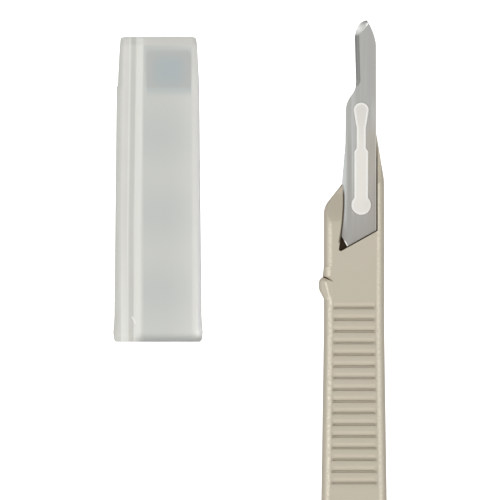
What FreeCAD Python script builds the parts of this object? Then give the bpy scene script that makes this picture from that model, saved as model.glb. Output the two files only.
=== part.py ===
# Disposable scalpel with its blade cover taken off and lying beside it.
# Millimetres. +Y points at the blade tip, +Z is up, the handle's underside rests on z = 0,
# and the origin lies on that underside, midway between the tip and the butt.
import FreeCAD, Part
import math
import os

Vec = FreeCAD.Vector

# Overall
overall_length = 155.0
tip_y = overall_length / 2
butt_y = tip_y - overall_length

# A cut reaches this far past what it cuts, and edges this close lie on one plane
cut_beyond = 1.0
same_place = 0.01

# Lengthwise, "back" is measured from the blade's tip towards the butt, and "ahead" and "behind"
# from the blade's rear end. "Across" is measured from the slot's centre line.

# Blade
blade_length = 37.0
blade_thickness = 0.39
blade_centre_x = 1.17
spine_across = 2.46
spine_rear_ahead = 2.65
apex_across = 0.95
clip_start_across = 1.24
clip_start_back = 0.5
clip_bulge = 0.2
clip_length = 4.2
belly_length = 2.9
edge_front_across = -1.056
edge_rear_across = -0.86
edge_rear_back = 10.2
shoulder_radius = 3.95
shank_front_across = -2.53
shank_front_ahead = 22.2
shank_flare_start_across = -2.6
shank_flare_start_ahead = 16.9
shank_flare_end_across = -3.14
shank_flare_end_ahead = 10.6
shank_rear_across = -3.2
heel_chamfer_across = 0.9
heel_chamfer_ahead = 1.65

# Ground bevels of the cutting edge
bevel_width = 0.74
belly_bevel_lead = 0.5
run_out_back = 9.75
run_out_radius = 1.28
run_out_angle = 110.0

# Slot through the blade, front to rear
slot_front_ahead = 23.43
slot_front_radius = 1.11
slot_neck_width = 1.3
slot_neck_ahead = 19.37
slot_neck_length = 3.27
slot_shoulder_length = 0.58
slot_wide_width = 2.06
slot_rear_ahead = 6.77
slot_rear_radius = 1.52

# Key through the slot: a stem in the slot, a spread head over its rim and a foot below the blade
key_stem_clearance = 0.03
key_head_overlap = 0.12
key_head_height = 0.16
key_head_chamfer = 0.09
key_foot_overlap = 0.4
key_foot_depth = 0.8
key_foot_clearance = 0.05

# Handle outline, seen from above
front_half_width = 4.93
middle_half_width = 5.62
butt_half_width = 5.05
widening_start_behind = 13.5
middle_behind = 60.5
widening_start_radius = 250.0
middle_radius = 1500.0
butt_corner_radius = 3.6
shoulder_rear_ahead = 6.5
shoulder_rear_radius = 3.2
shoulder_slant = 51.4
nose_left_x = -1.1
nose_root_radius = 0.9
nose_tip_ahead = 24.6
nose_tip_right_x = 2.63
nose_corner_radius = 1.5
nose_taper_ahead = 10.8
nose_taper_radius = 8.0

# Handle seen from the side
handle_thickness = 4.6
edge_rounding = 1.35
seat_height = 2.9
shoulder_slope_start_ahead = 3.9
shoulder_slope_end_ahead = 10.1
shoulder_drop = 0.55
underside_rise_start_ahead = 6.5
underside_rise = 1.2
profile_blend_radius = 14.0
facet_start_ahead = 4.0
facet_slope = 13.0
ramp_length = 6.8
ramp_foot_height = 0.1
ramp_sag = 0.25

# Pocket round the blade's rear end
blade_side_clearance = 0.2
blade_top_clearance = 0.12
pocket_corner_radius = 0.33
pocket_heel_across = -3.8
lip_least_thickness = 0.15
lip_front_across = -3.05
lip_front_ahead = 11.5
lip_reach_across = -2.96
lip_reach_ahead = 7.2
lip_reach_radius = 6.0
lip_rear_across = -3.42
lip_rear_ahead = 1.4
seat_relief_depth = 0.8
seat_relief_front_ahead = 14.6
heel_well_depth = 2.1

# Stop lug for the cover and the low snap ridge before it, on the handle's left side
lug_front_behind = 5.0
lug_length = 3.6
lug_slope_length = 1.5
lug_projection = 0.82
lug_front_radius = 1.0
lug_rear_radius = 1.8
lug_face_inset = 0.05
lug_rounding = 0.9
lug_root_depth = 1.4
ridge_length = 1.7
ridge_projection = 0.2
notch_width = 0.25
notch_depth = 0.42
notch_set_back = 0.05
notch_skew = 0.45
notch_floor = 1.5

# Grip grooves on both faces, with gently crowned ribs between them
groove_count = 16
groove_pitch = 1.907
first_groove_behind = 10.08
groove_depth = 0.5
groove_mouth_width = 0.42
groove_floor_width = 0.2
rib_crown_drop = 0.11
groove_end_inset = 1.45

# Blade cover, lying to the left of the scalpel with its mouth towards the butt
cap_centre_x = -30.93
cap_mouth_behind_lug = 10.58
cap_tip_room = 6.66
cap_wall = 0.85
cap_end_wall = 1.1
cap_side_clearance = 0.2
cap_height_clearance = 0.3
cap_side_draft = 0.5
cap_top_draft = 0.3
cap_left_rounding = 3.0
cap_left_slant = 20.0
cap_right_rounding = 1.35
cap_bottom_rounding = 0.2
cap_hollow_bottom_rounding = 0.2
cap_step_back = 8.3
cap_step_length = 0.5
cap_step_inset = 0.16
cap_end_taper = 0.28
cap_end_bevel_length = 1.35
cap_end_bevel_drop = 0.22
cap_end_bevel_inset = 0.1
cap_end_rounding = 0.35
cap_end_steps = 2
cap_rim_length = 1.5
cap_rim_steps = 3
cap_rim_drop = 0.5
cap_rim_inset = 0.35
cap_rim_flare = 0.15
cap_flare_length = 2.6
tip_pocket_left = -3.14
tip_pocket_right = 4.39
tip_pocket_corner_radius = 1.0
tip_pocket_chamfer = 0.5
channel_projection = 2.33
channel_rounding = 1.7
channel_clearance = 0.1
channel_root = 0.8

# Places along Y, and the cover's length, that follow from the sizes above
blade_rear_y = tip_y - blade_length
widening_start_y = blade_rear_y - widening_start_behind
middle_y = blade_rear_y - middle_behind
shoulder_rear_y = blade_rear_y + shoulder_rear_ahead
shoulder_slope_end_y = blade_rear_y + shoulder_slope_end_ahead
nose_tip_y = blade_rear_y + nose_tip_ahead
lug_front_y = blade_rear_y - lug_front_behind
first_groove_y = blade_rear_y - first_groove_behind
cap_mouth_y = lug_front_y - cap_mouth_behind_lug
cap_length = tip_y - lug_front_y + cap_tip_room + cap_end_wall


def rounded_wire(corners, place):
    """A closed wire through the corners (a, b, radius), each rounded by its radius."""
    count = len(corners)
    spans = []
    for index, (a, b, radius) in enumerate(corners):
        before = corners[index - 1]
        after = corners[(index + 1) % count]
        corner = Vec(a, b, 0)
        to_before = (Vec(before[0], before[1], 0) - corner).normalize()
        to_after = (Vec(after[0], after[1], 0) - corner).normalize()
        if radius == 0:
            spans.append((corner, None, corner))
            continue
        half_angle = to_before.getAngle(to_after) / 2
        bisector = (to_before + to_after).normalize()
        run = radius / math.tan(half_angle)
        centre = corner + bisector * (radius / math.sin(half_angle))
        spans.append((corner + to_before * run, centre - bisector * radius, corner + to_after * run))
    edges = []
    for index, (start, middle, end) in enumerate(spans):
        if middle is not None:
            edges.append(Part.Arc(place(start), place(middle), place(end)).toShape())
        following = spans[(index + 1) % count][0]
        edges.append(Part.LineSegment(place(end), place(following)).toShape())
    return Part.Wire(edges)


def flat_at(height):
    """Places outline points on the level plane at this height."""
    return lambda point: Vec(point.x, point.y, height)


def prism(corners, bottom, top):
    face = Part.Face(rounded_wire(corners, flat_at(bottom)))
    return face.extrude(Vec(0, 0, top - bottom))


def from_tip(across, back, height):
    return Vec(blade_centre_x + across, tip_y - back, height)


def from_rear(across, ahead, height):
    return Vec(blade_centre_x + across, blade_rear_y + ahead, height)


def pocket_corner(across, ahead, radius=0.0):
    return (blade_centre_x + across, blade_rear_y + ahead, radius)


def line(start, end):
    return Part.LineSegment(start, end).toShape()


def arc_round(centre, start, end):
    """The shorter arc from start to end round this centre."""
    radius = (start - centre).Length
    middle = centre + ((start - centre) + (end - centre)).normalize() * radius
    return Part.Arc(start, middle, end).toShape()


# Blade


def edge_frame():
    """The sharp edge's front end, its direction towards the rear and the direction into the blade."""
    front = from_tip(edge_front_across, belly_length, 0)
    rear = from_tip(edge_rear_across, edge_rear_back, 0)
    along = (rear - front).normalize()
    inward = Vec(-along.y, along.x, 0)
    return front, along, inward


def belly_bevel_corner(height):
    front, along, inward = edge_frame()
    return front + inward * bevel_width - along * belly_bevel_lead + Vec(0, 0, height)


def blade_plate():
    """The full-thickness plate behind the tip's bevel."""
    bottom = seat_height
    clip_front = from_tip(clip_start_across, clip_start_back, bottom)
    spine_front = from_tip(spine_across, clip_length, bottom)
    chord = spine_front - clip_front
    outward = Vec(-chord.y, chord.x, 0).normalize()
    clip_middle = (clip_front + spine_front) * 0.5 + outward * clip_bulge
    spine_rear = from_rear(spine_across, spine_rear_ahead, bottom)
    heel = from_rear(shank_rear_across + heel_chamfer_across, 0, bottom)
    heel_side = from_rear(shank_rear_across, heel_chamfer_ahead, bottom)
    flare_end = from_rear(shank_flare_end_across, shank_flare_end_ahead, bottom)
    flare_start = from_rear(shank_flare_start_across, shank_flare_start_ahead, bottom)
    shank_front = from_rear(shank_front_across, shank_front_ahead, bottom)
    edge_rear = from_tip(edge_rear_across, edge_rear_back, bottom)
    edge_front = from_tip(edge_front_across, belly_length, bottom)
    # Two tangent arcs lead from the cutting edge out to the shank.
    step = edge_rear_across - shank_front_across
    run = edge_rear.y - shank_front.y
    both_radii = (step**2 + run**2) / (2 * step)
    shank_centre = shank_front + Vec(shoulder_radius, 0, 0)
    edge_centre = edge_rear - Vec(both_radii - shoulder_radius, 0, 0)
    join = shank_centre + (edge_centre - shank_centre) * (shoulder_radius / both_radii)
    edges = [
        Part.Arc(clip_front, clip_middle, spine_front).toShape(),
        line(spine_front, spine_rear),
        line(spine_rear, heel),
        line(heel, heel_side),
        line(heel_side, flare_end),
        line(flare_end, flare_start),
        line(flare_start, shank_front),
        arc_round(shank_centre, shank_front, join),
        arc_round(edge_centre, join, edge_rear),
        line(edge_rear, edge_front),
        line(edge_front, belly_bevel_corner(bottom)),
        line(belly_bevel_corner(bottom), clip_front),
    ]
    return Part.Face(Part.Wire(edges)).extrude(Vec(0, 0, blade_thickness))


def edge_grind():
    """What the wheel takes off above the straight edge, with its rounded run-out at the rear."""
    front, along, inward = edge_frame()
    middle = seat_height + blade_thickness / 2
    top = seat_height + blade_thickness
    axis_gap = 0.02
    slope = (top - middle) / bevel_width
    outer = run_out_radius - bevel_width - axis_gap
    start = front - along * belly_length
    stop = front + along * (run_out_back - belly_length)
    section = [
        (bevel_width, top),
        (bevel_width, top + cut_beyond),
        (-outer, top + cut_beyond),
        (-outer, middle - outer * slope),
    ]
    straight = Part.makePolygon([start + inward * a + Vec(0, 0, z) for a, z in section + section[:1]])
    ground = Part.Face(straight).extrude(stop - start)
    turned = Part.makePolygon([stop + inward * a + Vec(0, 0, z) for a, z in section + section[:1]])
    axis = stop + inward * (bevel_width - run_out_radius)
    run_out = Part.Face(turned).revolve(axis, Vec(0, 0, -1), run_out_angle)
    return ground.fuse(run_out)


def tip_wedge():
    """The tip with its curved bevels, ruled from the belly's ellipse to a straight line on each face."""
    bottom = seat_height
    middle = seat_height + blade_thickness / 2
    top = seat_height + blade_thickness
    centre = from_tip(apex_across, belly_length, middle)
    apex = from_tip(apex_across, 0, middle)
    belly_end = from_tip(edge_front_across, belly_length, middle)
    belly = Part.Ellipse(apex, belly_end, centre).toShape(0, math.pi / 2)
    clip_top = from_tip(clip_start_across, clip_start_back, top)
    clip_bottom = from_tip(clip_start_across, clip_start_back, bottom)
    inner_top = belly_bevel_corner(top)
    inner_bottom = belly_bevel_corner(bottom)
    faces = [
        Part.makeRuledSurface(belly, line(clip_top, inner_top)),
        Part.makeRuledSurface(belly, line(clip_bottom, inner_bottom)),
        Part.Face(Part.makePolygon([clip_top, inner_top, inner_bottom, clip_bottom, clip_top])),
        Part.Face(Part.makePolygon([belly_end, inner_top, inner_bottom, belly_end])),
        Part.Face(Part.makePolygon([apex, clip_top, clip_bottom, apex])),
    ]
    shell = Part.Shell(faces)
    shell.sewShape()
    wedge = Part.Solid(shell)
    if wedge.Volume < 0:
        wedge.reverse()
    return wedge


def slot_prism(grow, bottom, top):
    """The slot's outline, grown on every side, from one height to another."""
    front_radius = slot_front_radius + grow
    rear_radius = slot_rear_radius + grow
    neck_half = slot_neck_width / 2 + grow
    wide_half = slot_wide_width / 2 + grow
    front_centre = slot_front_ahead - slot_front_radius
    neck_end = slot_neck_ahead - slot_neck_length
    wide_start = neck_end - slot_shoulder_length
    wide_end = slot_rear_ahead + math.sqrt(rear_radius**2 - wide_half**2)
    # The sides of the front opening run tangent from its round end to the neck.
    taper = front_centre - slot_neck_ahead
    lean = math.atan2(neck_half, taper) + math.acos(front_radius / math.hypot(neck_half, taper))
    touch_half = front_radius * math.sin(lean)
    touch_ahead = front_centre - front_radius * math.cos(lean)

    def at(across, ahead):
        return from_rear(across, ahead, bottom)

    left = [
        at(-touch_half, touch_ahead),
        at(-neck_half, slot_neck_ahead),
        at(-neck_half, neck_end),
        at(-wide_half, wide_start),
        at(-wide_half, wide_end),
    ]
    right = [
        at(wide_half, wide_end),
        at(wide_half, wide_start),
        at(neck_half, neck_end),
        at(neck_half, slot_neck_ahead),
        at(touch_half, touch_ahead),
    ]
    edges = [line(a, b) for a, b in zip(left, left[1:])]
    edges.append(Part.Arc(left[-1], at(0, slot_rear_ahead - rear_radius), right[0]).toShape())
    edges += [line(a, b) for a, b in zip(right, right[1:])]
    edges.append(Part.Arc(right[-1], at(0, front_centre + front_radius), left[0]).toShape())
    return Part.Face(Part.Wire(edges)).extrude(Vec(0, 0, top - bottom))


def make_blade():
    grind = edge_grind()
    middle = seat_height + blade_thickness / 2
    under_grind = grind.mirror(Vec(0, 0, middle), Vec(0, 0, 1))
    ground_plate = blade_plate().cut(grind).cut(under_grind)
    blade = ground_plate.fuse(tip_wedge())
    slot = slot_prism(0, seat_height - cut_beyond, seat_height + blade_thickness + cut_beyond)
    return blade.cut(slot).removeSplitter()


def make_key():
    blade_top = seat_height + blade_thickness
    head_top = blade_top + key_head_height
    foot = slot_prism(key_foot_overlap, seat_height - key_foot_depth, seat_height)
    stem = slot_prism(-key_stem_clearance, seat_height - key_foot_depth / 2, blade_top + key_head_height / 2)
    head = slot_prism(key_head_overlap, blade_top, head_top)
    rim = [edge for edge in head.Edges if edge.BoundBox.ZMin > head_top - same_place]
    head = head.makeChamfer(key_head_chamfer, rim)
    return foot.fuse([stem, head]).removeSplitter()


# Handle


def handle_outline():
    slant = math.tan(math.radians(shoulder_slant))
    nose_root_y = shoulder_rear_y + (nose_left_x + front_half_width) * slant
    return [
        (-butt_half_width, butt_y, butt_corner_radius),
        (-middle_half_width, middle_y, middle_radius),
        (-front_half_width, widening_start_y, widening_start_radius),
        (-front_half_width, shoulder_rear_y, shoulder_rear_radius),
        (nose_left_x, nose_root_y, nose_root_radius),
        (nose_left_x, nose_tip_y, nose_corner_radius),
        (nose_tip_right_x, nose_tip_y, nose_corner_radius),
        (front_half_width, blade_rear_y + nose_taper_ahead, nose_taper_radius),
        (front_half_width, widening_start_y, widening_start_radius),
        (middle_half_width, middle_y, middle_radius),
        (butt_half_width, butt_y, butt_corner_radius),
    ]


def side_profile():
    """The handle's side view: level faces, a shoulder that slopes to the front, a rising underside."""
    shoulder_height = handle_thickness - shoulder_drop
    rise_start_y = blade_rear_y + underside_rise_start_ahead
    slope_start_y = blade_rear_y + shoulder_slope_start_ahead
    tip_beyond = nose_tip_y + cut_beyond
    rise_beyond = underside_rise * (tip_beyond - rise_start_y) / (nose_tip_y - rise_start_y)
    return [
        (butt_y - cut_beyond, 0, 0),
        (rise_start_y, 0, profile_blend_radius),
        (tip_beyond, rise_beyond, 0),
        (tip_beyond, shoulder_height, 0),
        (shoulder_slope_end_y, shoulder_height, profile_blend_radius),
        (slope_start_y, handle_thickness, profile_blend_radius),
        (butt_y - cut_beyond, handle_thickness, 0),
    ]


def along_side(x):
    """Places (y, z) outline points on the plane at this x."""
    return lambda point: Vec(x, point.x, point.y)


def handle_blank():
    seen_above = prism(handle_outline(), -cut_beyond, handle_thickness + cut_beyond)
    reach = middle_half_width + cut_beyond
    seen_aside = Part.Face(rounded_wire(side_profile(), along_side(-reach))).extrude(Vec(2 * reach, 0, 0))
    return seen_above.common(seen_aside).removeSplitter()


def rim_edges(solid):
    """Every edge of a flat-sided blank apart from the upright ones at its corners."""
    return [edge for edge in solid.Edges if edge.BoundBox.XLength + edge.BoundBox.YLength > same_place]


def nose_cut():
    """Opens the nose's top: a concave ramp from the shoulder down to the blade's seat."""
    reach = middle_half_width + cut_beyond
    foot = seat_height + ramp_foot_height
    beyond = nose_tip_y + cut_beyond
    above = handle_thickness + cut_beyond
    ramp_end_y = shoulder_slope_end_y + ramp_length
    start = Vec(-reach, shoulder_slope_end_y, handle_thickness - shoulder_drop)
    end = Vec(-reach, ramp_end_y, foot)
    sag = Vec(0, -ramp_sag, -ramp_sag)
    edges = [
        Part.Arc(start, (start + end) * 0.5 + sag, end).toShape(),
        line(end, Vec(-reach, ramp_end_y, seat_height)),
        line(Vec(-reach, ramp_end_y, seat_height), Vec(-reach, beyond, seat_height)),
        line(Vec(-reach, beyond, seat_height), Vec(-reach, beyond, above)),
        line(Vec(-reach, beyond, above), Vec(-reach, shoulder_slope_end_y, above)),
        line(Vec(-reach, shoulder_slope_end_y, above), start),
    ]
    return Part.Face(Part.Wire(edges)).extrude(Vec(2 * reach, 0, 0))


def left_shoulder_facet():
    """Cuts the left shoulder to a flat facet that slopes forward, down to the lip over the blade."""
    reach = middle_half_width + cut_beyond
    start_y = blade_rear_y + facet_start_ahead
    foot = seat_height + blade_thickness + blade_top_clearance + lip_least_thickness
    foot_y = start_y + (handle_thickness - foot) / math.tan(math.radians(facet_slope))
    beyond = nose_tip_y + cut_beyond
    above = handle_thickness + cut_beyond
    corners = [
        Vec(-reach, start_y, handle_thickness),
        Vec(-reach, foot_y, foot),
        Vec(-reach, beyond, foot),
        Vec(-reach, beyond, above),
        Vec(-reach, start_y, above),
    ]
    return Part.Face(Part.makePolygon(corners + corners[:1])).extrude(Vec(reach + blade_centre_x, 0, 0))


def rear_wall_ahead(across):
    """Where the pocket's rear wall stands, parallel to the blade's slanted rear end."""
    heel_across = shank_rear_across + heel_chamfer_across
    slant = spine_rear_ahead / (spine_across - heel_across)
    clearance = blade_side_clearance * math.hypot(1, slant)
    return slant * (across - heel_across) - clearance


def pocket():
    """A chamber that clears the blade, and an opening above it whose left lip reaches over the blade."""
    right = spine_across + blade_side_clearance
    lip_height = seat_height + blade_thickness + blade_top_clearance
    chamber_left = shank_rear_across - blade_side_clearance
    above = handle_thickness + cut_beyond
    front = shoulder_slope_end_ahead + ramp_length + cut_beyond
    chamber = [
        pocket_corner(chamber_left, front),
        pocket_corner(chamber_left, lip_rear_ahead),
        pocket_corner(pocket_heel_across, rear_wall_ahead(pocket_heel_across), pocket_corner_radius),
        pocket_corner(right, rear_wall_ahead(right)),
        pocket_corner(right, front),
    ]
    opening = [
        pocket_corner(lip_front_across, front),
        pocket_corner(lip_front_across, lip_front_ahead),
        pocket_corner(lip_reach_across, lip_reach_ahead, lip_reach_radius),
        pocket_corner(lip_rear_across, lip_rear_ahead),
        pocket_corner(pocket_heel_across, rear_wall_ahead(pocket_heel_across), pocket_corner_radius),
        pocket_corner(right, rear_wall_ahead(right)),
        pocket_corner(right, front),
    ]
    return prism(chamber, seat_height, lip_height).fuse(prism(opening, lip_height, above))


def seat_relief():
    """The groove that the pocket's floor has all round the blade's seat."""
    right = spine_across + blade_side_clearance
    left = shank_rear_across - blade_side_clearance
    round_seat = [
        pocket_corner(left, seat_relief_front_ahead),
        pocket_corner(left, lip_rear_ahead),
        pocket_corner(pocket_heel_across, rear_wall_ahead(pocket_heel_across), pocket_corner_radius),
        pocket_corner(right, rear_wall_ahead(right)),
        pocket_corner(right, seat_relief_front_ahead),
    ]
    groove = prism(round_seat, seat_height - seat_relief_depth, seat_height)
    seat = blade_plate().translated(Vec(0, 0, -seat_relief_depth))
    seat = seat.fuse(seat.translated(Vec(0, 0, seat_relief_depth - blade_thickness)))
    return groove.cut(seat)


def heel_well():
    """The deep well in the pocket's corner, beside the blade's cut-off heel."""
    heel_across = shank_rear_across + heel_chamfer_across
    corners = [
        pocket_corner(shank_rear_across - blade_side_clearance, lip_rear_ahead),
        pocket_corner(pocket_heel_across, rear_wall_ahead(pocket_heel_across), pocket_corner_radius),
        pocket_corner(heel_across, rear_wall_ahead(heel_across)),
        pocket_corner(heel_across, 0),
        pocket_corner(shank_rear_across, heel_chamfer_ahead),
    ]
    return prism(corners, seat_height - heel_well_depth, seat_height)


def lug():
    """The half-round stop lug for the cover, its rear running back into the handle's side."""
    root_x = -front_half_width + lug_root_depth
    outer_x = -front_half_width - lug_projection
    side_y = lug_front_y - lug_length
    slope = lug_slope_length / lug_projection
    blank = prism(
        [
            (root_x, lug_front_y, 0),
            (outer_x, lug_front_y, lug_front_radius),
            (outer_x, side_y + lug_slope_length, lug_rear_radius),
            (root_x, side_y - lug_root_depth * slope, 0),
        ],
        lug_face_inset,
        handle_thickness - lug_face_inset,
    )
    outside = [edge for edge in rim_edges(blank) if edge.BoundBox.XMin < root_x - same_place]
    return blank.makeFillet(lug_rounding, outside)


def snap_ridge(rounded_blank):
    """The low ramp before the lug that the cover snaps over, with the handle's own rounding."""
    root_x = -front_half_width + lug_root_depth
    corners = [
        (root_x, lug_front_y, 0),
        (-front_half_width - ridge_projection, lug_front_y, 0),
        (-front_half_width, lug_front_y + ridge_length, 0),
        (root_x, lug_front_y + ridge_length, 0),
    ]
    ramp = prism(corners, 0, handle_thickness)
    return ramp.common(rounded_blank.translated(Vec(-ridge_projection, 0, 0)))


def snap_notch(rounded_blank):
    """The narrow notch between the ridge and the lug, fading out inwards and closed below."""
    inner_x = -front_half_width + lug_root_depth
    ridge_x = -front_half_width - ridge_projection
    outer_x = ridge_x - cut_beyond
    ridge_y = lug_front_y - notch_set_back
    inner_y = ridge_y - notch_skew * (inner_x - ridge_x)
    outer_y = ridge_y - notch_skew * (outer_x - ridge_x)
    corners = [
        (inner_x, inner_y, 0),
        (outer_x, outer_y, 0),
        (outer_x, outer_y + notch_width, 0),
        (inner_x, inner_y + notch_width, 0),
    ]
    slit = prism(corners, notch_floor, handle_thickness + cut_beyond)
    return slit.cut(rounded_blank.translated(Vec(notch_depth, 0, 0)))


def groove_cutter():
    """All the grooves of the top face: one side-view outline, cut short of the handle's rounded sides."""
    top = handle_thickness
    above = top + cut_beyond
    mouth = groove_mouth_width / 2
    floor = groove_floor_width / 2
    crown_run = groove_pitch / 2 - mouth
    crown_radius = (crown_run**2 + rib_crown_drop**2) / (2 * rib_crown_drop)
    reach = middle_half_width + cut_beyond

    def at(y, z):
        return Vec(-reach, y, z)

    edges = []
    for index in range(groove_count):
        y = first_groove_y - index * groove_pitch
        crest_before = at(y + groove_pitch / 2, top)
        crest_after = at(y - groove_pitch / 2, top)
        lip_before = at(y + mouth, top - rib_crown_drop)
        lip_after = at(y - mouth, top - rib_crown_drop)
        floor_before = at(y + floor, top - groove_depth)
        floor_after = at(y - floor, top - groove_depth)
        edges += [
            arc_round(crest_before - Vec(0, 0, crown_radius), crest_before, lip_before),
            line(lip_before, floor_before),
            line(floor_before, floor_after),
            line(floor_after, lip_after),
            arc_round(crest_after - Vec(0, 0, crown_radius), lip_after, crest_after),
        ]
    front_crest = edges[0].Vertexes[0].Point
    rear_crest_y = first_groove_y - (groove_count - 0.5) * groove_pitch
    edges += [
        line(at(rear_crest_y, top), at(rear_crest_y, above)),
        line(at(rear_crest_y, above), at(front_crest.y, above)),
        line(at(front_crest.y, above), front_crest),
    ]
    profile = Part.Face(Part.Wire(edges)).extrude(Vec(2 * reach, 0, 0))
    return profile.common(groove_span(top, above))


def groove_span(top, above):
    """The stretch across the handle that the grooves take, with ends that run out at 45 degrees."""
    widening = (middle_half_width - front_half_width) / (widening_start_y - middle_y)
    below = top - groove_depth - cut_beyond
    front_y = first_groove_y + 2 * groove_pitch
    rear_y = first_groove_y - groove_count * groove_pitch
    stations = [front_y, widening_start_y, rear_y]
    sections = []
    for y in stations:
        half = front_half_width + widening * max(0.0, widening_start_y - y) - groove_end_inset
        narrow = half - (top - below)
        wide = half + (above - top)
        corners = [Vec(-narrow, y, below), Vec(narrow, y, below), Vec(wide, y, above), Vec(-wide, y, above)]
        sections.append(Part.makePolygon(corners + corners[:1]))
    return Part.makeLoft(sections, True, True)


def make_handle():
    blank = handle_blank()
    rounded = blank.makeFillet(edge_rounding, rim_edges(blank))
    body = rounded.fuse([lug(), snap_ridge(rounded)]).cut(snap_notch(rounded))
    grooves = groove_cutter()
    middle = Vec(0, 0, handle_thickness / 2)
    under_grooves = grooves.mirror(middle, Vec(0, 0, 1))
    body = body.cut(grooves).cut(under_grooves)
    body = body.cut(nose_cut()).cut(left_shoulder_facet()).cut(pocket())
    body = body.cut(seat_relief()).cut(heel_well())
    recess = slot_prism(key_foot_overlap + key_foot_clearance, seat_height - key_foot_depth, seat_height)
    return body.cut(recess).removeSplitter()


# Cover


def cap_section(distance, wall, inset=0.0, drop=0.0, channel_inset=0.0):
    """The cover's outline at this distance from its mouth, or its hollow's, a wall's thickness inside."""
    side = inset + cap_side_draft * distance / cap_length
    fall = drop + cap_top_draft * distance / cap_length
    half_width = front_half_width + cap_side_clearance + cap_wall
    lift = cap_wall + cap_height_clearance
    half = half_width - side - wall
    top = handle_thickness + 2 * lift - fall - wall
    beyond_lug = channel_clearance + cap_wall - wall
    channel_top = lift + handle_thickness - lug_face_inset + beyond_lug - fall
    channel_bottom = lift + lug_face_inset - beyond_lug
    channel_left = -half_width - channel_projection + side + channel_inset + wall
    slant = math.radians(cap_left_slant)
    slant_foot = -half_width + channel_root + side + wall * math.tan(slant / 2)
    slant_head = slant_foot + (top - channel_top) / math.tan(slant)
    corners = [
        (-half, wall, cap_hollow_bottom_rounding if wall else cap_bottom_rounding),
        (half, wall, cap_hollow_bottom_rounding if wall else cap_bottom_rounding),
        (half, top, cap_right_rounding - wall),
        (slant_head, top, cap_left_rounding - wall),
        (slant_foot, channel_top, 0),
        (channel_left, channel_top, channel_rounding - wall),
        (channel_left, channel_bottom, channel_rounding - wall),
        (-half, channel_bottom, 0),
    ]
    return rounded_wire(corners, lambda p: Vec(cap_centre_x + p.x, cap_mouth_y + distance, p.y))


def cap_outside():
    """A rounded and slightly flared rim, a small step in the channel, and a bevelled closed end."""
    sections = []
    for step in range(cap_rim_steps + 1):
        angle = math.pi / 2 * step / cap_rim_steps
        fall = 1 - math.sin(angle)
        distance = cap_rim_length * (1 - math.cos(angle))
        sections.append(cap_section(distance, 0, cap_rim_inset * fall - cap_rim_flare, cap_rim_drop * fall))
    step_at = cap_length - cap_step_back
    sections += [
        cap_section(cap_rim_length + cap_flare_length, 0),
        cap_section(step_at, 0),
        cap_section(step_at + cap_step_length, 0, 0, 0, cap_step_inset),
        cap_section(cap_length - cap_end_bevel_length, 0, cap_end_taper, 0, cap_step_inset),
    ]
    end_inset = cap_end_taper + cap_end_bevel_inset
    for step in range(cap_end_steps + 1):
        angle = math.pi / 2 * step / cap_end_steps
        fall = cap_end_rounding * (1 - math.cos(angle))
        distance = cap_length - cap_end_rounding * (1 - math.sin(angle))
        drop = cap_end_bevel_drop + fall
        sections.append(cap_section(distance, 0, end_inset + fall, drop, cap_step_inset))
    return Part.makeLoft(sections, True, True)


def cap_hollow():
    """Straight out of the mouth, and ending where the tip pocket begins."""
    ends = [cap_section(-cut_beyond, cap_wall), cap_section(cap_length - cap_step_back, cap_wall)]
    return Part.makeLoft(ends, True, True)


def tip_pocket():
    """The narrower end of the hollow, which holds the blade's tip."""
    front_y = cap_mouth_y + cap_length - cap_end_wall
    rear_y = cap_mouth_y + cap_length - cap_step_back - tip_pocket_corner_radius
    left = cap_centre_x + tip_pocket_left
    right = cap_centre_x + tip_pocket_right
    top = handle_thickness + 2 * cap_height_clearance + cap_wall - cap_top_draft
    corners = [
        (left, rear_y, 0),
        (right, rear_y, 0),
        (right, front_y, tip_pocket_corner_radius),
        (left, front_y, tip_pocket_corner_radius),
    ]
    box = prism(corners, cap_wall, top)
    over = [edge for edge in rim_edges(box) if edge.BoundBox.ZMin > top - same_place]
    outer = [edge for edge in over if edge.BoundBox.YMax > rear_y + same_place]
    return box.makeChamfer(tip_pocket_chamfer, outer)


def make_cap():
    return cap_outside().cut(cap_hollow()).cut(tip_pocket()).removeSplitter()


def main():
    os.makedirs("parts", exist_ok=True)
    solids = {
        "handle": make_handle(),
        "blade": make_blade(),
        "blade_key": make_key(),
        "blade_cap": make_cap(),
    }
    for name, solid in solids.items():
        solid.exportStep("parts/" + name + ".step")
        print(name, solid.isValid(), len(solid.Solids), round(solid.Volume, 2))


main()
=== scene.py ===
import math

import bpy
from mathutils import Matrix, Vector

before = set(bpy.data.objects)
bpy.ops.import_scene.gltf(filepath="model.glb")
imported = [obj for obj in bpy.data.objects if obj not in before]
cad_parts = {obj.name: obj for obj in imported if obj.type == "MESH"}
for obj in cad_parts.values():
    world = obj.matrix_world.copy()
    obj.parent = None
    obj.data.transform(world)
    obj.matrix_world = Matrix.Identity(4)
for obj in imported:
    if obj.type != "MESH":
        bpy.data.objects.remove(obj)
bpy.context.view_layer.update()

# Disposable scalpel: moulded handle, steel blade on its key, and the milky cover beside it.
# Metres, in the frame of the solids: +Y towards the blade's tip, +Z up, resting on z = 0.

MM = 0.001

# The photograph looks straight down on a square of this side, round this point
framed_side = 81.85 * MM
framed_centre = (-17.04 * MM, 39.90 * MM)
framed_height = 3.1 * MM
camera_height = 0.80
camera_reach = 10.0
sensor_width = 36.0

# The table lies just under the pieces
table_half_side = 2.0
table_drop = 0.01 * MM
table_roughness = 0.9

# Light of the pale room, and the watts that give a square metre of softbox a radiance of 1
room_strength = 0.4
watts_per_area = 4

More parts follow.
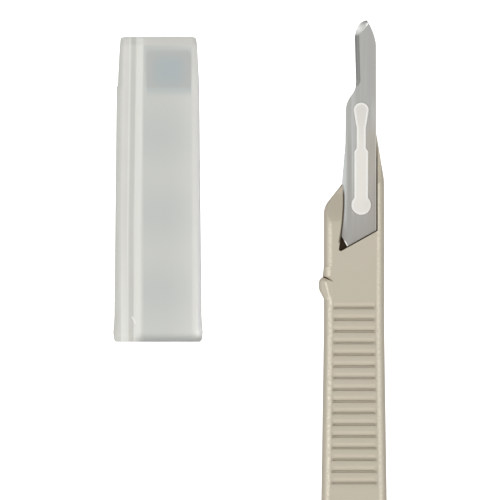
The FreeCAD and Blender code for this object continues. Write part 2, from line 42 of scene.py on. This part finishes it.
# Softboxes: compass angle from +X and height in degrees, distance and sides in metres, radiance
long_strip = (0.9, 0.42)
softboxes = {
    "overhead": (0, 90, 1.6, (0.8, 0.8), 0.9),
    "left_low": (180, 30, 0.8, long_strip, 1.4),
    "left_high": (180, 60, 0.8, long_strip, 0.6),
    "right_low": (0, 30, 0.8, long_strip, 1.2),
    "right_high": (0, 60, 0.8, long_strip, 0.45),
    "butt_side": (-90, 30, 0.8, (0.9, 0.3), 1.4),
    "tip_side": (143, 57, 1.0, (0.3, 0.3), 1.7),
}

# How finely the shade in a corner or at a rim is sampled
corner_samples = 8

# A pair says where a paint starts and where it is full. A stripe gives its middle, how far it is
# full to each side, and how far past that it fades. Places are in millimetres, a facing is the
# normal's part along one axis, and a turn is the level of a noise. A detail is how many finer
# layers a noise has, a roughness its least and most, and a relief a bump's strength and depth.

# Handle
abs_ior = 1.53
abs_scatter = 0.08
abs_scatter_reach = (0.9, 0.7, 0.5)
moulded_gloss = (0.5, 0.5, 0.5, 1.0)
dull_gloss = (0.1, 0.1, 0.1, 1.0)
flow_mark = 7.0
flow_detail = 2.0
flow_turn = (0.35, 0.65)
rim_inner_facing = (0.0, 0.22)
rim_outer_facing = (0.65, 0.25)
glint_patch = 0.5
glint_detail = 3.0
rim_turn = (0.1, 0.6)
glint_rim_x = (-4.1, 0.2, 0.3)
glint_front_y = (31.5, 31.0)
glint_turn = (0.5, 0.68)
shoulder_rear_y = (44.0, 45.0)
shoulder_right_x = (1.0, 0.0)
facet_right_x = (-1.6, -2.0)
facet_rear_y = (43.2, 46.8)
lug_y = (33.9, 1.5, 0.5)
lug_right_x = (-3.0, -3.3)
lug_streak_facing = (0.965, 0.263, 0.0)
lug_streak = (4.56, 0.03, 0.22)
lug_streak_y = (32.9, 1.5, 0.5)
lug_streak_right_x = (-3.4, -3.7)
side_facing = (0.5, 0.95)
groove_pitch = 1.907
first_rib_y = 30.04
crest_front = (0.28, 0.42)
crest_rear = (0.62, 0.52)
rib_shade_front = (0.52, 0.72)
rib_shade_rear = (0.84, 0.74)
grip_x = (0.0, 3.2, 0.3)
grip_front_y = (32.0, 31.5)
grip_rear_y = (1.3, 1.55)
grit_size = 0.2
grit_detail = 3.0
grit_roughness = (0.3, 0.4)
grit_relief = (0.25, 0.02)
pocket_rear_y = (33.0, 35.0)
pocket_front_y = (57.5, 55.5)
pocket_corner = 1.5
pocket_open = (1.0, 0.3)

# Lip of the pocket, whose edge bends slightly from its middle
lip_middle = (-1.75, 48.2)
lip_bend = 0.0145
lip_front_y = (50.3, 48.9)
lip_rear_y = (40.8, 41.4)
lip_left = (-0.2, -0.05)
lip_right = (0.8, 0.7)
lip_shadow = (0.3, 0.1)

# Blade
polish_width = 0.12
polish_length = 9.0
polish_detail = 4.0
polish_turn = (0.25, 0.75)
polish_roughness = (0.34, 0.48)
polish_relief = (0.3, 0.004)
band_width = 0.9
band_length = 40.0
band_detail = 1.0
band_turn = (0.4, 1.0)
band_front_y = (70.0, 64.0)
point_left_x = (1.7, 2.6)
point_rear_y = (62.0, 66.0)
heel_shade_y = (56.0, 41.0)
flank_left_x = (1.7, 2.4)
flank_front_y = (63.0, 57.0)
trough_x = (-0.75, 0.2, 0.35)
trough_front_y = (61.0, 55.0)
margin_right_x = (-0.95, -1.65)
margin_front_y = (60.0, 54.0)
margin_rear_y = (42.0, 46.5)
spine_left_x = (3.42, 3.52)
bevel_facing = (-0.1, -0.2)
bevel_width_x = (-0.1, 0.6)
straight_front_y = (75.5, 74.9)
belly_rear_y = (74.9, 75.5)
belly_bright_y = (75.2, 76.8)
blade_apex = (1.95, 77.3, 4.5)
apex_dull = (0.5, 0.25)
heel_facing = (0.878, 0.479, 0.0)
heel_edge = (18.58, 18.54)
heel_front_y = (41.6, 41.2)
heel_rear_y = (40.4, 40.7)
steel_corner = 0.3
steel_open = (1.0, 0.1)

# Key
acetal_ior = 1.48
acetal_scatter = 0.15
acetal_scatter_reach = (0.8, 0.7, 0.6)
key_cloud = 1.5
key_detail = 2.0
key_roughness = (0.3, 0.42)
key_relief = (0.2, 0.05)
key_shade_y = (56.0, 63.0)
key_rim = 0.35
key_rim_open = (0.97, 0.75)

# Cover
polypropylene_ior = 1.49
polypropylene_clear = 0.2
polypropylene_scatter = 1.0
polypropylene_scatter_reach = (0.9, 0.9, 0.9)
cover_cloud = 9.0
cover_detail = 3.0
cover_roughness = (0.2, 0.3)
cover_relief = (0.2, 0.3)
wave_length = 12.8
wave_crest_y = 39.4
wave_strength = 0.35
left_wall_x = (-34.2, -34.8)
right_lighter_x = (-31.0, -21.0)
right_wall_x = (-26.7, -26.1)
right_edge_x = (-26.2, -25.2)
closed_end_y = (73.0, 73.6)
taper_y = (43.0, 73.0)
taper_reach = 0.4
ridge_x = (-35.45, 0.45, 0.35)
line_x = (-36.98, 0.05, 0.2)
valley_x = (-36.42, 0.2, 0.35)
left_edge_x = (-37.95, -38.35)
channel_x = (-37.6, 0.35, 0.2)
channel_front_y = (46.0, 26.0)
pocket_middle = (-30.3, 69.2, 3.3)
pocket_half_size = (2.8, 2.4, 3.0)
pocket_fade = (1.1, 0.7)
core_half_size = (0.9, 0.8, 3.0)
core_fade = (2.8, 0.0)
step_x = (-30.25, 3.5, 0.2)
step_rear_y = (64.6, 66.3)
pocket_step_y = (66.2, 66.5)
pocket_end_y = (73.5, 71.6)
mouth_y = (26.6, 25.0)
mouth_left_x = (-36.5, -34.0)
fleck_facing = (0.896, 0.444, 0.0)
fleck_streak = (-19.58, 0.04, 0.14)
fleck_y = (28.5, 0.4, 0.3)

# Colours, as sRGB hex
pink_beige = "#BAB1A0"
green_beige = "#B8B19E"
painted_rim_highlight = "#D6CEBB"
painted_crest_highlight = "#C3B9A6"
painted_groove_shade = "#B5AC9A"
painted_facet_shade = "#B1A897"
painted_glint_beige = "#E0D8C6"
painted_side_shade = "#AFA797"
painted_well_shade = "#8E7755"
painted_lip_shadow = "#5E5446"
painted_corner_shade = "#5C4C30"
satin_steel = "#AEAEAA"
ground_steel = "#9F9F9B"
point_steel = "#A5A4A1"
warm_steel = "#A8A39B"
trough_steel = "#A09F9B"
pale_steel = "#CBCDCC"
painted_margin_reflection = "#BEC0BF"
painted_spine_highlight = "#B6B3AC"
heel_steel = "#A09D98"
painted_bevel_shade = "#545453"
painted_bevel_light = "#7A7A78"
painted_bright_steel = "#FCFCFA"
painted_belly_end = "#A8A8A6"
painted_key_rim_light = "#EAE8E2"
key_white = "#DEDBD4"
painted_key_shade = "#D4D1CB"
milky_wave_and_highlight = "#E2E1DC"
milky_cover = "#D1D4D0"
painted_ridge_highlight = "#ECECE7"
painted_valley_shade = "#D8D8D2"
painted_right_highlight = "#E9E9E4"
painted_edge_light = "#DADAD4"
painted_bright_highlight = "#FDFDF9"
painted_step_shade = "#C9CFCD"
painted_tip_pocket_shade = "#C6C8C5"
painted_tip_core_shade = "#BDC6C7"
painted_mouth_shade = "#B6B8B5"
card_grey = "#C8C8C7"
white = (1.0, 1.0, 1.0, 1.0)


def linear(hex_colour):
    """An sRGB hex colour as linear red, green, blue and full alpha."""
    parts = [int(hex_colour[i:i + 2], 16) / 255 for i in (1, 3, 5)]
    return [c / 12.92 if c <= 0.04045 else ((c + 0.055) / 1.055) ** 2.4 for c in parts] + [1.0]


def add_node(tree, kind, sockets=None, **settings):
    """Adds a node, sets its properties, and fills its sockets."""
    node = tree.nodes.new(kind)
    for name, value in settings.items():
        setattr(node, name, value)
    fill_sockets(tree, node, sockets or {})
    return node


def fill_sockets(tree, node, sockets):
    """Gives each named socket its value, or links it to another node's output."""
    for name, value in sockets.items():
        if isinstance(value, bpy.types.NodeSocket):
            tree.links.new(value, node.inputs[name])
        else:
            node.inputs[name].default_value = value


def start_material(name):
    """A new material, its node tree and its shader."""
    material = bpy.data.materials.new(name)
    material.use_nodes = True
    return material, material.node_tree, material.node_tree.nodes["Principled BSDF"]


def place_in_mm(tree):
    """The place of a surface point in millimetres, whole and as its X and Y."""
    spot = add_node(tree, "ShaderNodeTexCoord")
    in_mm = add_node(
        tree,
        "ShaderNodeVectorMath",
        {0: spot.outputs["Object"], "Scale": 1 / MM},
        operation="SCALE",
    )
    place = in_mm.outputs[0]
    parts = add_node(tree, "ShaderNodeSeparateXYZ", {0: place})
    return place, parts.outputs["X"], parts.outputs["Y"]


def facing_along_x(tree):
    """How far the surface faces along +X, from -1 to 1."""
    spot = add_node(tree, "ShaderNodeTexCoord")
    facing = add_node(tree, "ShaderNodeSeparateXYZ", {0: spot.outputs["Normal"]})
    return facing.outputs["X"]


def stripe(value, middle, reach, softness):
    """The two edges of a stripe round a middle value."""
    return [
        (value, middle - reach - softness, middle - reach),
        (value, middle + reach + softness, middle + reach),
    ]


def paint(tree, under, over, edges):
    """Lays one colour over another where all the edges let it.

    An edge is a value, what it is where the paint starts, and what it is where the paint is full.
    """
    share = 1.0
    for value, start, full in edges:
        soft_edge = add_node(
            tree,
            "ShaderNodeMapRange",
            {"Value": value, "From Min": start, "From Max": full, "To Max": share},
            interpolation_type="SMOOTHSTEP",
        )
        share = soft_edge.outputs[0]
    mixed = add_node(tree, "ShaderNodeMix", {0: share, 6: under, 7: over}, data_type="RGBA")
    return mixed.outputs[2]


def roughen(tree, shader, pattern, roughness, relief):
    """Lets one pattern vary a shader's roughness and raise its surface."""
    least, most = roughness
    strength, depth = relief
    sheen = add_node(
        tree,
        "ShaderNodeMapRange",
        {"Value": pattern, "To Min": least, "To Max": most},
    )
    bump = add_node(
        tree,
        "ShaderNodeBump",
        {"Height": pattern, "Strength": strength, "Distance": depth * MM},
    )
    finish = {"Roughness": sheen.outputs[0], "Normal": bump.outputs["Normal"]}
    fill_sockets(tree, shader, finish)


def scatter_light(tree, plastic, share, reach):
    """Lets a share of the light into a plastic, to spread as far as its reach in millimetres."""
    fill_sockets(
        tree,
        plastic,
        {
            "Subsurface Weight": share,
            "Subsurface Radius": [part * MM for part in reach],
            "Subsurface Scale": 1.0,
        },
    )


def past_lip(tree, x, y):
    """How far a spot lies to the right of the edge of the pocket's lip."""
    ahead = add_node(tree, "ShaderNodeMath", {0: y, 1: lip_middle[1]}, operation="SUBTRACT")
    square = add_node(tree, "ShaderNodeMath", {0: ahead.outputs[0], 1: 2.0}, operation="POWER")
    bent = add_node(
        tree,
        "ShaderNodeMath",
        {0: square.outputs[0], 1: lip_bend, 2: x},
        operation="MULTIPLY_ADD",
    )
    beyond = add_node(
        tree,
        "ShaderNodeMath",
        {0: bent.outputs[0], 1: lip_middle[0]},
        operation="SUBTRACT",
    )
    return beyond.outputs[0]


# Finishes


def moulded_abs():
    """ABS for the handle: satin from a finely spark-eroded mould, with faint flow marks."""
    material, tree, plastic = start_material("moulded_abs")
    place, x, y = place_in_mm(tree)
    # Flow marks turn the beige a little pink in one place and green in another.
    flow = add_node(
        tree,
        "ShaderNodeTexNoise",
        {"Vector": place, "Scale": 1 / flow_mark, "Detail": flow_detail},
    )
    flat = paint(tree, linear(pink_beige), linear(green_beige), [(flow.outputs["Fac"], *flow_turn)])
    # The rounded rims get a patchy painted highlight, lighter than the flat between them.
    sideways = add_node(tree, "ShaderNodeMath", {0: facing_along_x(tree)}, operation="ABSOLUTE")
    aside = sideways.outputs[0]
    glint_noise = add_node(
        tree,
        "ShaderNodeTexNoise",
        {"Vector": place, "Scale": 1 / glint_patch, "Detail": glint_detail},
    )
    rounded = [(aside, *rim_inner_facing), (aside, *rim_outer_facing)]
    patchy = [(glint_noise.outputs["Fac"], *rim_turn)]
    colour = paint(tree, flat, linear(painted_rim_highlight), rounded + patchy)
    # Small spots of the left rim beside the ribs get a brighter painted highlight.
    glint_spots = stripe(x, *glint_rim_x) + [(y, *glint_front_y), (glint_noise.outputs["Fac"], *glint_turn)]
    colour = paint(tree, colour, linear(painted_glint_beige), rounded + glint_spots)
    # The slanted facet of the shoulder has no painted rim highlight, and a painted soft shade of
    # its own.
    colour = paint(tree, colour, flat, [(y, *shoulder_rear_y), (x, *shoulder_right_x)])
    colour = paint(tree, colour, linear(painted_facet_shade), [(y, *facet_rear_y), (x, *facet_right_x)])
    # Around the lug the painted rim highlight is cut away, and only a painted highlight streak
    # beside it is light.
    colour = paint(tree, colour, flat, stripe(y, *lug_y) + [(x, *lug_right_x)])
    across = add_node(
        tree,
        "ShaderNodeVectorMath",
        {0: place, 1: lug_streak_facing},
        operation="DOT_PRODUCT",
    )
    streak = stripe(across.outputs["Value"], *lug_streak) + stripe(y, *lug_streak_y) + patchy
    colour = paint(tree, colour, linear(painted_glint_beige), streak + [(x, *lug_streak_right_x)])
    # The steep sides get a painted darker shade.
    colour = paint(tree, colour, linear(painted_side_shade), [(aside, *side_facing)])
    # Each rib has a painted highlight along its crest, and a painted shade where it dips into the
    # next groove.
    ribs = add_node(
        tree,
        "ShaderNodeMapRange",
        {"Value": y, "From Min": first_rib_y, "From Max": first_rib_y - groove_pitch},
        clamp=False,
    )
    along_rib = add_node(tree, "ShaderNodeMath", {0: ribs.outputs[0]}, operation="FRACT").outputs[0]
    grip = stripe(x, *grip_x) + [(y, *grip_front_y), (y, *grip_rear_y)]
    crest = [(along_rib, *crest_front), (along_rib, *crest_rear)]
    shade = [(along_rib, *rib_shade_front), (along_rib, *rib_shade_rear)]
    colour = paint(tree, colour, linear(painted_crest_highlight), grip + crest)
    colour = paint(tree, colour, linear(painted_groove_shade), grip + shade)
    # The lip over the blade has a painted dark shadow along its edge.
    to_lip = past_lip(tree, x, y)
    lip = [(to_lip, *lip_left), (to_lip, *lip_right), (y, *lip_front_y), (y, *lip_rear_y)]
    colour = paint(tree, colour, linear(painted_lip_shadow), lip)
    # The pocket's corners lie in the blade's shade, painted there as a brown shade and a duller
    # gloss.
    sky = add_node(
        tree,
        "ShaderNodeAmbientOcclusion",
        {"Distance": pocket_corner * MM},
        samples=corner_samples,
    )
    deep = [(sky.outputs["AO"], *pocket_open), (y, *pocket_rear_y), (y, *pocket_front_y)]
    colour = paint(tree, colour, linear(painted_well_shade), deep)
    gloss = paint(tree, moulded_gloss, dull_gloss, deep)
    # The eroded texture is 0.05 mm in the mould, drawn four times coarser so that it shows.
    grit = add_node(
        tree,
        "ShaderNodeTexNoise",
        {"Vector": place, "Scale": 1 / grit_size, "Detail": grit_detail},
    )
    roughen(tree, plastic, grit.outputs["Fac"], grit_roughness, grit_relief)
    scatter_light(tree, plastic, abs_scatter, abs_scatter_reach)
    finish = {"Base Color": colour, "Specular IOR Level": gloss, "IOR": abs_ior}
    fill_sockets(tree, plastic, finish)
    return material


def ground_carbon_steel():
    """Strip steel for the blade: rolled and satin-finished along its length, with ground bevels."""
    material, tree, steel = start_material("ground_carbon_steel")
    place, x, y = place_in_mm(tree)
    # Polishing lines run along the blade. Real ones are 0.02 mm wide, and they are drawn at
    # 0.12 mm so that they show.
    drawn_out = (1 / polish_width, 1 / polish_length, 1.0)
    along = add_node(tree, "ShaderNodeVectorMath", {0: place, 1: drawn_out}, operation="MULTIPLY")
    lines = add_node(
        tree,
        "ShaderNodeTexNoise",
        {"Vector": along.outputs[0], "Scale": 1.0, "Detail": polish_detail},
    )
    polish = [(lines.outputs["Fac"], *polish_turn)]
    colour = paint(tree, linear(ground_steel), linear(satin_steel), polish)
    # Rolling leaves wider bands on the shank that are a little lighter from end to end.
    rolled_out = (1 / band_width, 1 / band_length, 1.0)
    rolled = add_node(tree, "ShaderNodeVectorMath", {0: place, 1: rolled_out}, operation="MULTIPLY")
    bands = add_node(
        tree,
        "ShaderNodeTexNoise",
        {"Vector": rolled.outputs[0], "Scale": 1.0, "Detail": band_detail},
    )
    band = [(bands.outputs["Fac"], *band_turn), (y, *band_front_y)]
    colour = paint(tree, colour, linear(pale_steel), band)
    # The point is greyer towards the spine, the shank warmer there, and the heel darker.
    colour = paint(tree, colour, linear(point_steel), [(x, *point_left_x), (y, *point_rear_y)])
    colour = paint(tree, colour, linear(warm_steel), [(x, *flank_left_x), (y, *flank_front_y)])
    colour = paint(tree, colour, linear(heel_steel), [(y, *heel_shade_y)])
    # The shank is darker in a stripe beside its left margin. The margin itself gets a
    # painted pale reflection, and the spine's edge a painted highlight.
    trough = stripe(x, *trough_x) + [(y, *trough_front_y)]
    colour = paint(tree, colour, linear(trough_steel), trough)
    margin = [(x, *margin_right_x), (y, *margin_front_y), (y, *margin_rear_y)]
    colour = paint(tree, colour, linear(painted_margin_reflection), margin)
    colour = paint(tree, colour, linear(painted_spine_highlight), [(x, *spine_left_x)])
    # The straight bevel gets a painted dark reflection, darker than the blade's sides.
    ground = [(facing_along_x(tree), *bevel_facing)]
    bevel = paint(tree, linear(painted_bevel_shade), linear(painted_bevel_light), [(x, *bevel_width_x)])
    colour = paint(tree, colour, bevel, ground + [(y, *straight_front_y)])
    # The belly's bevel gets a painted bright reflection, up to a spot painted dark at the very tip.
    belly_highlight = paint(tree, linear(painted_belly_end), linear(painted_bright_steel), [(y, *belly_bright_y)])
    colour = paint(tree, colour, belly_highlight, ground + [(y, *belly_rear_y)])
    apart = add_node(tree, "ShaderNodeVectorMath", {0: place, 1: blade_apex}, operation="DISTANCE")
    colour = paint(tree, colour, linear(painted_bevel_shade), [(apart.outputs["Value"], *apex_dull)])
    # The sheared heel gets a painted highlight along its edge.
    across = add_node(
        tree,
        "ShaderNodeVectorMath",
        {0: place, 1: heel_facing},
        operation="DOT_PRODUCT",
    )
    heel = [(across.outputs["Value"], *heel_edge), (y, *heel_front_y), (y, *heel_rear_y)]
    colour = paint(tree, colour, linear(painted_bright_steel), heel)
    # The corners get a painted brown shade, and the steel under the handle's lip a painted
    # shadow.
    sky = add_node(
        tree,
        "ShaderNodeAmbientOcclusion",
        {"Distance": steel_corner * MM},
        samples=corner_samples,
    )
    colour = paint(tree, colour, linear(painted_corner_shade), [(sky.outputs["AO"], *steel_open)])
    under_lip = [(past_lip(tree, x, y), *lip_shadow), (y, *lip_front_y)]
    colour = paint(tree, colour, linear(painted_lip_shadow), under_lip)
    roughen(tree, steel, lines.outputs["Fac"], polish_roughness, polish_relief)
    fill_sockets(tree, steel, {"Base Color": colour, "Metallic": 1.0})
    return material


def moulded_acetal():
    """Acetal for the key: off-white, slightly waxy, with a soft gloss."""
    material, tree, plastic = start_material("moulded_acetal")
    place, _, y = place_in_mm(tree)
    # The front head gets a painted grey shade.
    colour = paint(tree, linear(key_white), linear(painted_key_shade), [(y, *key_shade_y)])
    # A narrow rim along the edges gets a painted whiter highlight.
    inside = add_node(
        tree,
        "ShaderNodeAmbientOcclusion",
        {"Distance": key_rim * MM},
        samples=corner_samples,
        inside=True,
        only_local=True,
    )
    colour = paint(tree, colour, linear(painted_key_rim_light), [(inside.outputs["AO"], *key_rim_open)])
    # Its skin is faintly uneven, as acetal shrinks in the mould.
    cloud = add_node(
        tree,
        "ShaderNodeTexNoise",
        {"Vector": place, "Scale": 1 / key_cloud, "Detail": key_detail},
    )
    roughen(tree, plastic, cloud.outputs["Fac"], key_roughness, key_relief)
    scatter_light(tree, plastic, acetal_scatter, acetal_scatter_reach)
    fill_sockets(tree, plastic, {"Base Color": colour, "IOR": acetal_ior})
    return material


def moulded_polypropylene():
    """Natural polypropylene for the cover: milky, with a painted cool shade over the hollow for the
    tip.
    """
    material, tree, plastic = start_material("moulded_polypropylene")
    place, x, y = place_in_mm(tree)
    # Cooling in the mould left faint lighter waves across the cover: a cosine, from -1 to 1.
    phase = add_node(
        tree,
        "ShaderNodeMapRange",
        {
            "Value": y,
            "From Min": wave_crest_y,
            "From Max": wave_crest_y + wave_length,
            "To Max": 2 * math.pi,
        },
        clamp=False,
    )
    wave = add_node(tree, "ShaderNodeMath", {0: phase.outputs[0]}, operation="COSINE")
    crest = add_node(
        tree,
        "ShaderNodeMapRange",
        {"Value": wave.outputs[0], "From Min": -1.0, "To Max": wave_strength},
    )
    wavy = add_node(
        tree,
        "ShaderNodeMix",
        {0: crest.outputs[0], 6: linear(milky_cover), 7: linear(milky_wave_and_highlight)},
        data_type="RGBA",
    )
    # Painted highlights whiten the side walls, the right side and edge, and the closed end.
    colour = paint(tree, wavy.outputs[2], linear(milky_wave_and_highlight), [(x, *left_wall_x)])
    colour = paint(tree, colour, linear(painted_right_highlight), [(x, *right_lighter_x)])
    colour = paint(tree, colour, linear(painted_right_highlight), [(x, *right_wall_x)])
    colour = paint(tree, colour, linear(painted_bright_highlight), [(x, *right_edge_x)])
    colour = paint(tree, colour, linear(milky_wave_and_highlight), [(y, *closed_end_y)])
    # Painted highlight and shade stripes run the length of the left side, beside the channel,
    # leaning in with the taper.
    lean = add_node(
        tree,
        "ShaderNodeMapRange",
        {"Value": y, "From Min": taper_y[0], "From Max": taper_y[1], "To Max": taper_reach},
    )
    leaning = add_node(tree, "ShaderNodeMath", {0: x, 1: lean.outputs[0]}, operation="SUBTRACT")
    across = leaning.outputs[0]
    colour = paint(tree, colour, linear(painted_ridge_highlight), stripe(across, *ridge_x))
    colour = paint(tree, colour, linear(painted_ridge_highlight), stripe(across, *line_x))
    colour = paint(tree, colour, linear(painted_valley_shade), stripe(across, *valley_x))
    colour = paint(tree, colour, linear(painted_edge_light), [(across, *left_edge_x)])
    channel = stripe(across, *channel_x) + [(y, *channel_front_y)]
    colour = paint(tree, colour, linear(painted_ridge_highlight), channel)
    # The tip's pocket is a rounded box of painted cool shade, above a fainter painted step.
    step = stripe(x, *step_x) + [(y, *step_rear_y), (y, *pocket_end_y)]
    colour = paint(tree, colour, linear(painted_step_shade), step)
    off_middle = add_node(
        tree,
        "ShaderNodeVectorMath",
        {0: place, 1: pocket_middle},
        operation="SUBTRACT",
    )
    aside = add_node(tree, "ShaderNodeVectorMath", {0: off_middle.outputs[0]}, operation="ABSOLUTE")
    for half_size, fade, shade in (
        (pocket_half_size, pocket_fade, painted_tip_pocket_shade),
        (core_half_size, core_fade, painted_tip_core_shade),
    ):
        beyond = add_node(
            tree,
            "ShaderNodeVectorMath",
            {0: aside.outputs[0], 1: half_size},
            operation="SUBTRACT",
        )
        outside = add_node(
            tree,
            "ShaderNodeVectorMath",
            {0: beyond.outputs[0], 1: (0.0, 0.0, 0.0)},
            operation="MAXIMUM",
        )
        away = add_node(tree, "ShaderNodeVectorMath", {0: outside.outputs[0]}, operation="LENGTH")
        box = [(away.outputs["Value"], *fade), (y, *pocket_step_y), (y, *pocket_end_y)]
        colour = paint(tree, colour, linear(shade), box)
    # The mouth gets a painted darker shade.
    colour = paint(tree, colour, linear(painted_mouth_shade), [(y, *mouth_y), (x, *mouth_left_x)])
    # A small bright streak is painted near the mouth.
    across_fleck = add_node(
        tree,
        "ShaderNodeVectorMath",
        {0: place, 1: fleck_facing},
        operation="DOT_PRODUCT",
    )
    fleck = stripe(across_fleck.outputs["Value"], *fleck_streak) + stripe(y, *fleck_y)
    colour = paint(tree, colour, linear(painted_bright_highlight), fleck)
    # The thin walls shrank a little unevenly, which bends the reflections.
    cloud = add_node(
        tree,
        "ShaderNodeTexNoise",
        {"Vector": place, "Scale": 1 / cover_cloud, "Detail": cover_detail},
    )
    roughen(tree, plastic, cloud.outputs["Fac"], cover_roughness, cover_relief)
    scatter_light(tree, plastic, polypropylene_scatter, polypropylene_scatter_reach)
    finish = {
        "Base Color": colour,
        "IOR": polypropylene_ior,
        "Transmission Weight": polypropylene_clear,
    }
    fill_sockets(tree, plastic, finish)
    return material


def dress_solids():
    """Gives each solid its finish."""
    finishes = {
        "handle": moulded_abs(),
        "blade": ground_carbon_steel(),
        "blade_key": moulded_acetal(),
        "blade_cap": moulded_polypropylene(),
    }
    for name, material in finishes.items():
        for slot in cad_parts[name].material_slots:
            slot.material = material


# Studio


def make_floor():
    """A plain white table, larger than any view takes in."""
    mesh = bpy.data.meshes.new("table")
    half = table_half_side
    corners = [(-half, -half, 0), (half, -half, 0), (half, half, 0), (-half, half, 0)]
    mesh.from_pydata(corners, [], [(0, 1, 2, 3)])
    table = bpy.data.objects.new("table", mesh)
    table.location.z = -table_drop
    bpy.context.collection.objects.link(table)
    material, tree, paper = start_material("white_table")
    # Light from below whitens the table in the picture, and the object isn't lit by it.
    ray = add_node(tree, "ShaderNodeLightPath")
    fill_sockets(
        tree,
        paper,
        {
            "Base Color": linear(card_grey),
            "Roughness": table_roughness,
            "Emission Color": white,
            "Emission Strength": ray.outputs["Is Camera Ray"],
        },
    )
    mesh.materials.append(material)


def softbox(name, bearing, elevation, distance, size, radiance):
    """A rectangular light that faces the middle of the picture."""
    centre = Vector((*framed_centre, 0))
    turn = math.radians(bearing)
    rise = math.radians(elevation)
    level = math.cos(rise)
    towards = Vector((level * math.cos(turn), level * math.sin(turn), math.sin(rise)))
    light = bpy.data.lights.new(name, "AREA")
    light.shape = "RECTANGLE"
    light.size, light.size_y = size
    light.energy = radiance * watts_per_area * size[0] * size[1]
    lamp = bpy.data.objects.new(name, light)
    lamp.location = centre + towards * distance
    lamp.rotation_euler = towards.to_track_quat("Z", "Y").to_euler()
    bpy.context.collection.objects.link(lamp)


def make_lights():
    """A pale room, and the softboxes round the table."""
    world = bpy.data.worlds.new("studio")
    world.use_nodes = True
    sky = world.node_tree.nodes["Background"]
    sky.inputs["Color"].default_value = white
    sky.inputs["Strength"].default_value = room_strength
    bpy.context.scene.world = world
    for name, setting in softboxes.items():
        softbox(name, *setting)


def make_camera():
    """Straight down, from far enough that the sides of the pieces hardly show."""
    lens = bpy.data.cameras.new("camera")
    lens.sensor_width = sensor_width
    lens.lens = sensor_width * (camera_height - framed_height) / framed_side
    lens.clip_end = camera_reach
    camera = bpy.data.objects.new("camera", lens)
    camera.location = (*framed_centre, camera_height)
    bpy.context.collection.objects.link(camera)
    bpy.context.scene.camera = camera
    bpy.context.scene.view_settings.view_transform = "Standard"


make_camera()
make_lights()
make_floor()
dress_solids()
